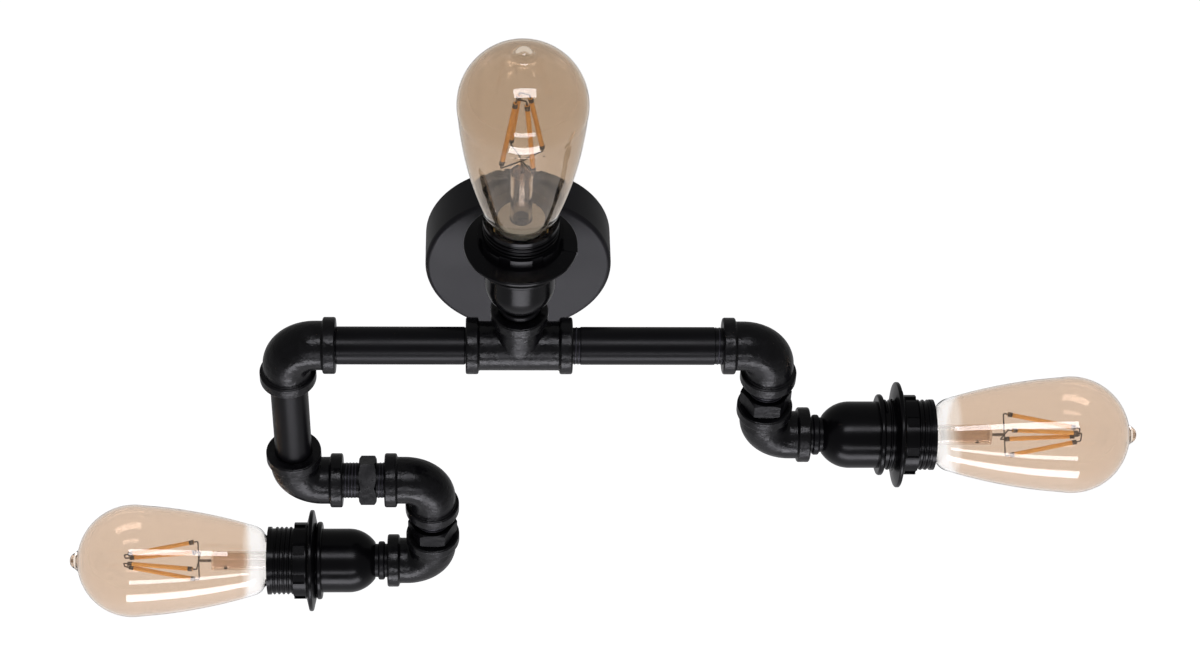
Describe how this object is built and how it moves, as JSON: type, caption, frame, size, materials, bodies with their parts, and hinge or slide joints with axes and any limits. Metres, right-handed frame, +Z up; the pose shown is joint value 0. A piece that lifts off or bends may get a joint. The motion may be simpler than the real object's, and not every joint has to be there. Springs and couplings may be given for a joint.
{
  "type": "industrial wall light",
  "caption": "Wall light of black pipe and beaded fittings: a round canopy, a stem and a tee carry lampholders with screw-in amber bulbs on arms that swivel at their threads.",
  "frame": {"origin": "on the wall, behind the canopy's centre, in the back face of the bracket", "axes": "+X to the right along the arms, +Y into the wall, so the light stands out towards -Y, +Z up"},
  "size_m": [0.593, 0.114, 0.4235],
  "materials": {
    "canopy_paint": "satin black paint",
    "bracket_zinc": "zinc plated",
    "block_plastic": "cream plastic",
    "flex_sheath": "matt black sheath",
    "cast_black": "black paint on a cast skin",
    "pipe_black": "satin black paint",
    "holder_black": "satin black moulding",
    "ceramic_white": "glazed white",
    "contact_brass": "bright",
    "base_metal": "bright, slightly dull",
    "base_insulator": "black glass-like",
    "amber_glass": "clear amber tint",
    "filament_amber": "yellow-orange coating",
    "support_wire": "dull"
  },
  "bodies": {
    "base": {"canopy": "canopy_paint", "wall_bracket": "bracket_zinc", "canopy_side_screws": "canopy_paint", "terminal_block": "block_plastic", "stem_pipe": "pipe_black", "stem_lock_nut": "bracket_zinc", "cross_tee": "cast_black", "left_feed_flex": "flex_sheath", "right_feed_flex": "flex_sheath", "middle_flex": "flex_sheath", "middle_holder_bush": "pipe_black", "middle_holder_cap": "holder_black", "middle_holder_skirt": "holder_black", "middle_holder_insert": "ceramic_white", "middle_holder_contacts": "contact_brass"},
    "left_arm": {"left_pipe": "pipe_black", "left_upper_elbow": "cast_black", "left_drop_pipe": "pipe_black", "left_lower_elbow": "cast_black", "left_run_nipple": "pipe_black", "left_inner_elbow": "cast_black", "left_lamp_nipple": "pipe_black", "left_arm_flex": "flex_sheath"},
    "left_lamp": {"left_lamp_elbow": "cast_black", "left_lamp_flex": "flex_sheath", "left_holder_bush": "pipe_black", "left_holder_cap": "holder_black", "left_holder_skirt": "holder_black", "left_holder_insert": "ceramic_white", "left_holder_contacts": "contact_brass"},
    "right_arm": {"right_pipe": "pipe_black", "right_upper_elbow": "cast_black", "right_lamp_nipple": "pipe_black", "right_arm_flex": "flex_sheath"},
    "right_lamp": {"right_lamp_elbow": "cast_black", "right_lamp_flex": "flex_sheath", "right_holder_bush": "pipe_black", "right_holder_cap": "holder_black", "right_holder_skirt": "holder_black", "right_holder_insert": "ceramic_white", "right_holder_contacts": "contact_brass"},
    "left_ring": {"left_shade_ring": "holder_black"},
    "left_bulb_seat": {"left_bulb_contact": "base_insulator"},
    "left_bulb": {"left_bulb_base": "base_metal", "left_bulb_glass": "amber_glass", "left_bulb_filaments": "filament_amber", "left_bulb_wires": "support_wire"},
    "middle_ring": {"middle_shade_ring": "holder_black"},
    "middle_bulb_seat": {"middle_bulb_contact": "base_insulator"},
    "middle_bulb": {"middle_bulb_base": "base_metal", "middle_bulb_glass": "amber_glass", "middle_bulb_filaments": "filament_amber", "middle_bulb_wires": "support_wire"},
    "right_ring": {"right_shade_ring": "holder_black"},
    "right_bulb_seat": {"right_bulb_contact": "base_insulator"},
    "right_bulb": {"right_bulb_base": "base_metal", "right_bulb_glass": "amber_glass", "right_bulb_filaments": "filament_amber", "right_bulb_wires": "support_wire"}
  },
  "joints": [
    {"name": "left_arm_swivel", "type": "hinge", "parent": "base", "child": "left_arm", "pos_m": [-0.028, -0.082, 0], "axis": [-1, 0, 0], "range_deg": [-15, 90]},
    {"name": "right_arm_swivel", "type": "hinge", "parent": "base", "child": "right_arm", "pos_m": [0.028, -0.082, 0], "axis": [-1, 0, 0], "range_deg": [-40, 90]},
    {"name": "left_lamp_swivel", "type": "hinge", "parent": "left_arm", "child": "left_lamp", "pos_m": [-0.047, -0.082, -0.157], "axis": [0, 0, 1], "range_deg": [-15, 90]},
    {"name": "right_lamp_swivel", "type": "hinge", "parent": "right_arm", "child": "right_lamp", "pos_m": [0.133, -0.082, -0.046], "axis": [0, 0, -1], "range_deg": [-15, 90]},
    {"name": "left_ring_travel", "type": "slide", "parent": "left_lamp", "child": "left_ring", "axis": [-1, 0, 0], "range_m": [0, 0.015]},
    {"name": "left_bulb_travel", "type": "slide", "parent": "left_lamp", "child": "left_bulb_seat", "axis": [-1, 0, 0], "range_m": [0, 0.01815]},
    {"name": "left_bulb_turn", "type": "hinge", "parent": "left_bulb_seat", "child": "left_bulb", "pos_m": [-0.073, -0.082, -0.183], "axis": [-1, 0, 0], "range_deg": [0, 1800]},
    {"name": "middle_ring_travel", "type": "slide", "parent": "base", "child": "middle_ring", "axis": [0, 0, 1], "range_m": [-0.0051, 0.01]},
    {"name": "middle_bulb_travel", "type": "slide", "parent": "base", "child": "middle_bulb_seat", "axis": [0, 0, 1], "range_m": [0, 0.01815]},
    {"name": "middle_bulb_turn", "type": "hinge", "parent": "middle_bulb_seat", "child": "middle_bulb", "pos_m": [0, -0.082, 0.028], "axis": [0, 0, 1], "range_deg": [0, 1800]},
    {"name": "right_ring_travel", "type": "slide", "parent": "right_lamp", "child": "right_ring", "axis": [1, 0, 0], "range_m": [-0.0051, 0.01]},
    {"name": "right_bulb_travel", "type": "slide", "parent": "right_lamp", "child": "right_bulb_seat", "axis": [1, 0, 0], "range_m": [0, 0.01815]},
    {"name": "right_bulb_turn", "type": "hinge", "parent": "right_bulb_seat", "child": "right_bulb", "pos_m": [0.159, -0.082, -0.072], "axis": [1, 0, 0], "range_deg": [0, 1800]}
  ],
  "couplings": [
    {"joint": "left_bulb_travel", "follows": "left_bulb_turn", "m_per_rad": 0.00057757},
    {"joint": "middle_bulb_travel", "follows": "middle_bulb_turn", "m_per_rad": 0.00057757},
    {"joint": "right_bulb_travel", "follows": "right_bulb_turn", "m_per_rad": 0.00057757}
  ]
}
